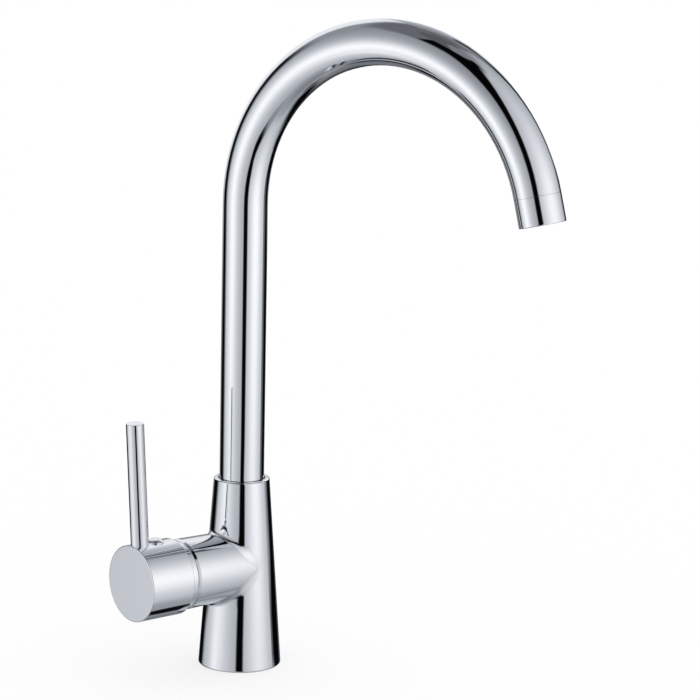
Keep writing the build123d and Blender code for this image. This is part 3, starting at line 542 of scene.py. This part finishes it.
class TAP_OT_model_arm_blend(bpy.types.Operator):
    """Model the soft hollow where the arm's flanks run out into the body"""

    bl_idname = "tap.model_arm_blend"
    bl_label = "Arm blend"

    # sections round the arm, and steps across each
    around = 192
    steps = 20
    # the hollow widens towards the flanks where the squared sine of a section's angle from the
    # top passes the first number, and is at its widest after the second
    flank_from = 0.45
    flank_within = 0.35
    largest_radius = 30.0 * MM
    # how far the hollow's back lies inside the two walls
    back_depth = 0.6 * MM
    halvings = 40
    corrections = 12

    def execute(self, context):
        sizes = context.scene.tap_sizes
        cone = TaperedWall(Vector(), UP, FOOT_RADIUS, (RIM_RADIUS - FOOT_RADIUS) / BODY_HEIGHT)
        root = cone.radius_at(ARM_HEIGHT) - ARM_INSET
        arm = TaperedWall(ARM_HEIGHT * UP, ALONG_ARM, root, (ARM_RADIUS - root) / ARM_RUN)
        rows, borders = [], []
        for number in range(self.around):
            angle = 2.0 * pi * number / self.around
            flank = (sin(angle) ** 2 - self.flank_from) / self.flank_within
            flank = min(max(flank, 0.0), 1.0)
            flank = flank * flank * (3.0 - 2.0 * flank)
            width = sizes.blend_tight + (sizes.blend_soft - sizes.blend_tight) * flank
            row, ends = self.hollow(cone, arm, angle, width)
            rows.append(row)
            borders.append(ends)
        deselect()
        bpy.ops.mesh.primitive_grid_add(x_subdivisions=4, y_subdivisions=4, size=MM)
        blend = bpy.context.object
        blend.name = "arm_blend"
        points = [point for row in rows for point in row]
        count = len(rows[0])
        faces = []
        for number in range(self.around):
            first, second = number * count, (number + 1) % self.around * count
            for step in range(count):
                after = (step + 1) % count
                faces.append((first + step, second + step, second + after, first + after))
        blend.data.clear_geometry()
        blend.data.from_pydata(points, [], faces)
        edit_all(blend, "FACE")
        bpy.ops.mesh.normals_make_consistent(inside=False)
        bpy.ops.object.mode_set(mode="OBJECT")
        hand_over(blend, "tap", "polished_chrome")
        # at its two borders the hollow has the walls' own normals, so no seam shows
        normals = [vertex.normal.copy() for vertex in blend.data.vertices]
        for number, (from_cone, from_arm) in enumerate(borders):
            normals[number * count] = from_cone
            normals[number * count + self.steps] = from_arm
        blend.data.normals_split_custom_set_from_vertices(normals)
        return {"FINISHED"}

    def hollow(self, cone, arm, angle, width):
        """One section: the arc of a ball that touches both walls, closed by a point inside."""
        # where this side of the arm crosses the cone
        side = cos(angle) * UP + sin(angle) * ACROSS_ARM
        near, far = 0.0, ARM_RUN
        for _ in range(self.halvings):
            run = 0.5 * (near + far)
            crossing = arm.start + run * ALONG_ARM + arm.radius_at(run) * side
            if cone.measure(crossing)[0] < 0.0:
                near = run
            else:
                far = run
        first, second = cone.measure(crossing)[1], arm.measure(crossing)[1]
        # the ball's centre, moved until it stands its own radius off both walls
        radius = min(width / first.angle(second), self.largest_radius)
        centre = crossing + radius * (first + second) / (1.0 + first.dot(second))
        for _ in range(self.corrections):
            off_cone, from_cone = cone.measure(centre)
            off_arm, from_arm = arm.measure(centre)
            lacks_cone, lacks_arm = radius - off_cone, radius - off_arm
            cc, ca = from_cone.dot(first), from_cone.dot(second)
            ac, aa = from_arm.dot(first), from_arm.dot(second)
            size = cc * aa - ca * ac
            centre = centre + first * ((lacks_cone * aa - lacks_arm * ca) / size)
            centre = centre + second * ((cc * lacks_arm - ac * lacks_cone) / size)
        from_cone, from_arm = cone.measure(centre)[1], arm.measure(centre)[1]
        arc = [
            centre - radius * from_cone.slerp(from_arm, step / self.steps)
            for step in range(self.steps + 1)
        ]
        back = crossing - self.back_depth * (first + second).normalized()
        return [*arc, back], (from_cone, from_arm)


# the threaded holes, which start at the top of the foot's hollow
HOLLOW_HEIGHT = 12.0 * MM
PORT_CIRCLE = 12.0 * MM
PORT_ANGLES = [radians(turn) for turn in (-45.2, -165.2, 74.8)]
PORT_RADIUS = 4.5 * MM
STUD_RADIUS = 3.4 * MM


class TAP_OT_model_threads(bpy.types.Operator):
    """Model the thread ridges that show in the three supply ports and the stud hole"""

    bl_idname = "tap.model_threads"
    bl_label = "Threads"

    port_turns = 8
    stud_turns = 12
    steps = 40
    # in pitches: the ridge's size, and how far above the hole's mouth it starts
    ridge_size = 0.42
    lead = 0.9
    # how far the ridge's middle lies inward of the bore, in its own sizes
    inward = 0.4

    def execute(self, context):
        sizes = context.scene.tap_sizes
        threads = [self.thread("port_thread_1", PORT_RADIUS, sizes.port_pitch, self.port_turns)]
        for number in (2, 3):
            copy = threads[0].copy()
            copy.data = threads[0].data.copy()
            copy.name = "port_thread_" + str(number)
            bpy.context.collection.objects.link(copy)
            threads.append(copy)
        for thread, angle in zip(threads, PORT_ANGLES):
            place = Vector((PORT_CIRCLE * cos(angle), PORT_CIRCLE * sin(angle), 0.0))
            thread.location = thread.location + place
            hand_over(thread, "tap", "bare_brass")
        stud = self.thread("stud_thread", STUD_RADIUS, sizes.stud_pitch, self.stud_turns)
        hand_over(stud, "tap", "bare_brass")
        return {"FINISHED"}

    def thread(self, name, radius, pitch, turns):
        """An inner thread's ridge: a small triangle wound up the hole."""
        deselect()
        size = self.ridge_size * pitch
        bpy.ops.mesh.primitive_circle_add(
            vertices=3, radius=size, location=(0.0, 0.0, 0.0), rotation=(radians(90), 0.0, 0.0)
        )
        ridge = bpy.context.object
        ridge.name = name
        bpy.ops.object.transform_apply(location=False, rotation=True, scale=False)
        edit_all(ridge, "VERT")
        bpy.ops.transform.rotate(
            value=radians(90), orient_axis="Y", center_override=(0.0, 0.0, 0.0)
        )
        bpy.ops.transform.translate(value=(radius - self.inward * size, 0.0, 0.0))
        bpy.ops.object.mode_set(mode="OBJECT")
        modify(
            ridge, "SCREW", axis="Z", steps=self.steps, screw_offset=pitch, iterations=turns,
            use_merge_vertices=True,
        )
        # close both ends
        edit_all(ridge, "VERT")
        bpy.ops.mesh.select_non_manifold(extend=False)
        bpy.ops.mesh.edge_face_add()
        bpy.ops.mesh.select_all(action="SELECT")
        bpy.ops.mesh.normals_make_consistent(inside=False)
        bpy.ops.object.mode_set(mode="OBJECT")
        ridge.location.z = HOLLOW_HEIGHT + self.lead * pitch
        return ridge


# between rows of six sided cells, in cells
ROW_HEIGHT = 0.8660254


class TAP_OT_model_aerator_grid(bpy.types.Operator):
    """Model the aerator's grid of six sided cells round the filtered water nozzle"""

    bl_idname = "tap.model_aerator_grid"
    bl_label = "Aerator grid"

    outer = 10.63 * MM
    inner = 4.52 * MM
    thickness = 2.2 * MM
    # from the tube's end to the grid's middle
    along_flow = 14.3 * MM
    rounding = 0.07 * MM
    sharp_from = radians(50)
    # rows and columns of cells to each side, and the space they keep to the rims in cells
    reach = 6
    inner_space = 0.6
    outer_space = 0.62

    def execute(self, context):
        grid = start_ring("aerator_honeycomb", self.outer, self.inner, self.thickness)
        cutter = self.cells(context.scene.tap_sizes)
        modify(grid, "BOOLEAN", operation="DIFFERENCE", object=cutter, solver="EXACT")
        bpy.data.objects.remove(cutter)
        modify(
            grid, "BEVEL", width=self.rounding, segments=1, limit_method="ANGLE",
            angle_limit=self.sharp_from,
        )
        grid.rotation_euler.y = ARCH_TURN
        grid.location = TUBE_END + self.along_flow * FLOW
        hand_over(grid, "spout", "aerator_plastic", "aerator_insert")
        return {"FINISHED"}

    def cells(self, sizes):
        """Six sided rods in staggered rows, joined into one object."""
        pitch = sizes.cell_size + sizes.cell_wall
        least = self.inner + self.inner_space * pitch
        most = self.outer - self.outer_space * pitch
        places = []
        for row in range(-self.reach, self.reach + 1):
            for column in range(-self.reach, self.reach + 1):
                x = pitch * (column + 0.5 * (row % 2))
                y = pitch * ROW_HEIGHT * row
                if least < (x * x + y * y) ** 0.5 < most:
                    places.append((x, y, 0.0))
        deselect()
        bpy.ops.mesh.primitive_cylinder_add(
            vertices=6, radius=sizes.cell_size / 3.0 ** 0.5, depth=2.0 * self.thickness,
            location=places[0],
        )
        first = bpy.context.object
        rods = [first]
        for place in places[1:]:
            rod = first.copy()
            rod.data = first.data.copy()
            rod.location = place
            bpy.context.collection.objects.link(rod)
            rods.append(rod)
        choose(first)
        for rod in rods:
            rod.select_set(True)
        bpy.ops.object.join()
        return first


# ------------------------------------------------------------------ stage
WHITE = (1.0, 1.0, 1.0, 1.0)
FLOOR_SIZE = 30.0
# how much of the floor is plain white to the camera, so that its shadows stay faint
FLOOR_GLOW = 0.7

TENT_TURN = -52.8
TENT_GAIN = 1.105
DIM_TINT = (0.95, 1.0, 1.12, 1.0)
DEGREES_PER_RADIAN = 57.2958

CAMERA_PLACE = Vector((1.1349, -1.4952, 0.5885))
CAMERA_HEADING = 125.17
CAMERA_DROP = 11.597
CAMERA_ROLL = 1.157
CAMERA_LENS = 157.93
CAMERA_REACH = 50.0


class TAP_OT_set_stage(bpy.types.Operator):
    """Set the floor, the light tent, the world and the camera"""

    bl_idname = "tap.set_stage"
    bl_label = "Stage"

    def execute(self, context):
        scene = context.scene
        scene.view_settings.view_transform = "Standard"
        self.set_world(scene)
        self.lay_floor()
        self.pitch_tent(scene.tap_studio)
        self.set_camera(scene)
        return {"FINISHED"}

    def set_world(self, scene):
        """Plain white light from all round."""
        scene.world = bpy.data.worlds.new("plain_white")
        shader = Shader(scene.world)
        white = shader.add("Background", None, {"Color": WHITE, "Strength": 1.0})
        shader.add("OutputWorld", None, {"Surface": white})

    def lay_floor(self):
        """A white floor that mirrors don't see, see-through from below."""
        bpy.ops.mesh.primitive_plane_add(size=FLOOR_SIZE)
        floor = bpy.context.object
        floor.name = "floor"
        floor.visible_glossy = False
        material, shader = new_material("white_floor")
        lit = shader.add("BsdfDiffuse", None, {"Color": WHITE})
        white = shader.add("Emission", None, {"Color": WHITE, "Strength": 1.0})
        camera_ray = shader.add("LightPath", output="Is Camera Ray")
        mixed = shader.add("MixShader", None, {0: FLOOR_GLOW * camera_ray, 1: lit, 2: white})
        below = shader.add("NewGeometry", output="Backfacing")
        clear = shader.add("BsdfTransparent")
        mixed = shader.add("MixShader", None, {0: below, 1: mixed, 2: clear})
        shader.add("OutputMaterial", None, {"Surface": mixed})
        floor.data.materials.append(material)

    def pitch_tent(self, studio):
        """A round tent of light that only mirror finishes see."""
        bpy.ops.mesh.primitive_uv_sphere_add(segments=128, ring_count=64, radius=studio.tent_radius)
        tent = bpy.context.object
        tent.name = "light_tent"
        tent.location = studio.tent_centre
        tent.rotation_euler.z = radians(TENT_TURN)
        for ray in ("camera", "diffuse", "transmission", "volume_scatter", "shadow"):
            setattr(tent, "visible_" + ray, False)
        bpy.ops.object.shade_smooth()
        tent.data.materials.append(tent_cloth())

    def set_camera(self, scene):
        """The photograph's camera: its heading from +X, its tilt down and its roll."""
        heading, drop, roll = (radians(x) for x in (CAMERA_HEADING, CAMERA_DROP, CAMERA_ROLL))
        forward = Vector((cos(heading) * cos(drop), sin(heading) * cos(drop), -sin(drop)))
        level = Vector((sin(heading), -cos(heading), 0.0))
        up = level.cross(forward)
        right = level * cos(roll) + up * sin(roll)
        up = up * cos(roll) - level * sin(roll)
        turn = Matrix((right, up, -forward)).transposed()
        data = bpy.data.cameras.new("photo_camera")
        data.lens = CAMERA_LENS
        data.clip_end = CAMERA_REACH
        camera = bpy.data.objects.new("photo_camera", data)
        scene.collection.objects.link(camera)
        camera.matrix_world = Matrix.Translation(CAMERA_PLACE) @ turn.to_4x4()
        scene.camera = camera


class TentCloth:
    """How bright the tent is in each direction, where 1 is white.

    Directions are in degrees seen from its centre. Turn 0 is the camera's side and grows to the
    camera's right. Lift 0 is level and grows upwards.
    """

    black = 0.0015
    grey = 0.26
    panel_softness = 3.6

    def __init__(self, shader):
        _, x, y, z = shader.place()
        level = (x * x + y * y) ** 0.5
        self.turn = x.maths("ARCTAN2", y, x) * DEGREES_PER_RADIAN
        self.lift = x.maths("ARCTAN2", z, level) * DEGREES_PER_RADIAN
        # two bands low on the tent, in which the upright edges of panels and walls stand aside
        self.foot = self.lift.fall(-28.5, -23.5) * self.lift.rise(-34.0, -31.0)
        self.slip = self.lift.fall(-29.0, -20.0) * self.lift.rise(-44.0, -30.0)

    def brightness(self):
        """All of the tent, from what hangs farthest back to what stands in front."""
        light = self.walls_behind()
        for layer in (self.dim_cloths, self.front_panels, self.worktop, self.dark_things):
            light = layer(light)
        return light

    def walls_behind(self):
        """Black cloth, and behind the tap two walls that are bright above and dim below."""
        turn, lift = self.turn, self.lift
        above, below = (lift - 35.0).highest(0.0), (20.0 - lift).highest(0.0)
        left = 0.17 + 0.63 * lift.rise(-14.0, 12.0) * lift.fall(48.0, 66.0)
        left_edge = -136.0 - 0.8 * above - 0.25 * below - 12.0 * self.foot
        fading = (lift - 14.0).highest(0.0) / 22.0
        right = 0.1 + 0.9 / (1.0 + fading * fading)
        right = over(0.03 + 0.17 * lift.fall(-52.0, -18.0), right, lift.fall(-8.0, 6.0))
        right_edge = 140.0 + 0.7 * above + 18.0 * lift.fall(0.0, 12.0)
        light = self.black + 0.2 * turn.rise(100.0, 120.0) * lift.rise(43.0, 55.0)
        light = over(self.grey, light, turn.fall(-110.0, -96.0) * lift.rise(30.0, 44.0))
        light = over(left, light, (turn - left_edge).fall(-7.0, 7.0))
        return over(right, light, (turn - right_edge).rise(-6.0, 6.0))

    def dim_cloths(self, light):
        """Dim cloth over both sides and the crown, none over the slit at the camera."""
        turn, lift = self.turn, self.lift
        left = 0.13
        light = over(left, light, turn.fall(-70.0, -63.0) * lift.rise(54.0, 64.0))
        right = 0.24 - 0.12 * turn.rise(110.0, 135.0)
        light = over(right, light, turn.rise(52.0, 68.0) * lift.rise(62.0, 72.0))
        crown = 0.092 + 0.1 * turn.rise(-24.0, -16.0) * turn.fall(108.0, 120.0)
        return over(crown, light, lift.rise(77.5, 80.0))

    def front_panels(self, light):
        """Two bright panels, left and right of the dark slit at the camera."""
        turn, lift = self.turn, self.lift
        left = self.panel(inner=-13.0 - 4.0 * self.slip, side=-1.0, top=61.5, corner=32.0)
        left = left * (turn + 13.0 * self.foot).rise(-121.0, -104.0)
        base = 0.31 - 0.17 * lift.rise(-10.0, 40.0)
        spread = 26.0 + 9.0 * lift.rise(0.0, 28.0)
        lamp = 0.66 * self.glow(turn=-73.0, lift=-2.0, wide=spread, tall=30.0)
        lamp = lamp + 0.2 * self.glow(turn=-84.0, lift=-29.0, wide=12.0, tall=5.0)
        light = over(base + lamp, light, left)
        right = self.panel(inner=9.8 - 4.5 * self.slip, side=1.0, top=72.0, corner=34.0)
        crisp = lift.rise(0.0, 35.0)
        right = right * turn.fall(109.0 + 12.0 * crisp, 136.0 - 7.0 * crisp - 12.0 * self.foot)
        lamp = 0.82 * self.glow(turn=59.0, lift=0.5, wide=42.5, tall=50.0)
        return over(0.18 + lamp, light, right)

    def worktop(self, light):
        """The slit stops above the worktop, which dims towards the tap's foot."""
        below_slit = self.lift.fall(-50.0, -37.0) * abs(self.turn + 1.5).fall(12.0, 20.0)
        light = over(self.grey, light, below_slit)
        top = 0.22 + 0.08 * self.lift.rise(-82.0, -70.0)
        return over(top, light, self.lift.fall(-70.0, -54.0))

    def dark_things(self, light):
        """A black flag and a painted shadow behind the tap: high, a small dark flag; low, an almost
        black oval painted where the tap's own shadow lies on the worktop.
        """
        turn, lift = self.turn, self.lift
        lean = 0.25 * (turn - 150.0).highest(0.0)
        low, high = 0.004, 0.02
        # painted shadow: the tap's own shadow on the worktop, as an almost black oval low behind
        # the tap
        light = over(low, light, self.oval((turn - 152.0) / 17.0, (lift + 68.5 - lean) / 2.6))
        # a small dark flag high behind the tap
        return over(high, light, self.oval((turn - 149.0) / 5.0, (lift - 48.0) / 7.0))

    def oval(self, across, along):
        """A soft oval, whose rim is where across and along are 1 from its middle."""
        return (across * across + along * along).fall(0.6, 1.8)

    def glow(self, turn, lift, wide, tall):
        """A lamp behind the cloth: 1 at this direction, half as much at its width and height."""
        across = (self.turn - turn) / wide
        along = (self.lift - lift) / tall
        return 1.0 / (1.0 + across * across + along * along)

    def panel(self, inner, side, top, corner):
        """A sheet from its upright inner edge to one side, round at its upper inner corner."""
        across = (corner - side * (self.turn - inner)).highest(0.0)
        along = (self.lift - (top - corner)).highest(0.0)
        edge = (across * across + along * along) ** 0.5 - corner
        return edge.fall(-self.panel_softness, self.panel_softness)


def tent_cloth():
    """The tent's light, a little bluer where it is dim."""
    material, shader = new_material("tent_cloth")
    light = TentCloth(shader).brightness()
    tint = shader.blend(light, DIM_TINT, WHITE)
    emission = shader.add("Emission", None, {"Color": tint, "Strength": light * TENT_GAIN})
    shader.add("OutputMaterial", None, {"Surface": emission})
    return material


class TAP_PT_panel(bpy.types.Panel):
    """The tap's steps, in order"""

    bl_label = "Water tap"
    bl_idname = "TAP_PT_panel"
    bl_space_type = "VIEW_3D"
    bl_region_type = "UI"
    bl_category = "Water Tap"

    def draw(self, context):
        for step in STEPS:
            self.layout.operator(step.bl_idname)


STEPS = (
    TAP_OT_finish_chrome,
    TAP_OT_finish_inner_parts,
    TAP_OT_model_ferrule_joint,
    TAP_OT_model_base_seal,
    TAP_OT_model_arm_blend,
    TAP_OT_model_threads,
    TAP_OT_model_aerator_grid,
    TAP_OT_set_stage,
)
CLASSES = (TapFinish, TapSizes, TapStudio, *STEPS, TAP_PT_panel)


def register():
    for cls in CLASSES:
        bpy.utils.register_class(cls)
    bpy.types.Scene.tap_finish = bpy.props.PointerProperty(type=TapFinish)
    bpy.types.Scene.tap_sizes = bpy.props.PointerProperty(type=TapSizes)
    bpy.types.Scene.tap_studio = bpy.props.PointerProperty(type=TapStudio)


def unregister():
    del bpy.types.Scene.tap_studio
    del bpy.types.Scene.tap_sizes
    del bpy.types.Scene.tap_finish
    for cls in reversed(CLASSES):
        bpy.utils.unregister_class(cls)


def main():
    register()
    bpy.ops.tap.finish_chrome()
    bpy.ops.tap.finish_inner_parts()
    bpy.ops.tap.model_ferrule_joint()
    bpy.ops.tap.model_base_seal()
    bpy.ops.tap.model_arm_blend()
    bpy.ops.tap.model_threads()
    bpy.ops.tap.model_aerator_grid()
    bpy.ops.tap.set_stage()


if __name__ == "__main__":
    main()
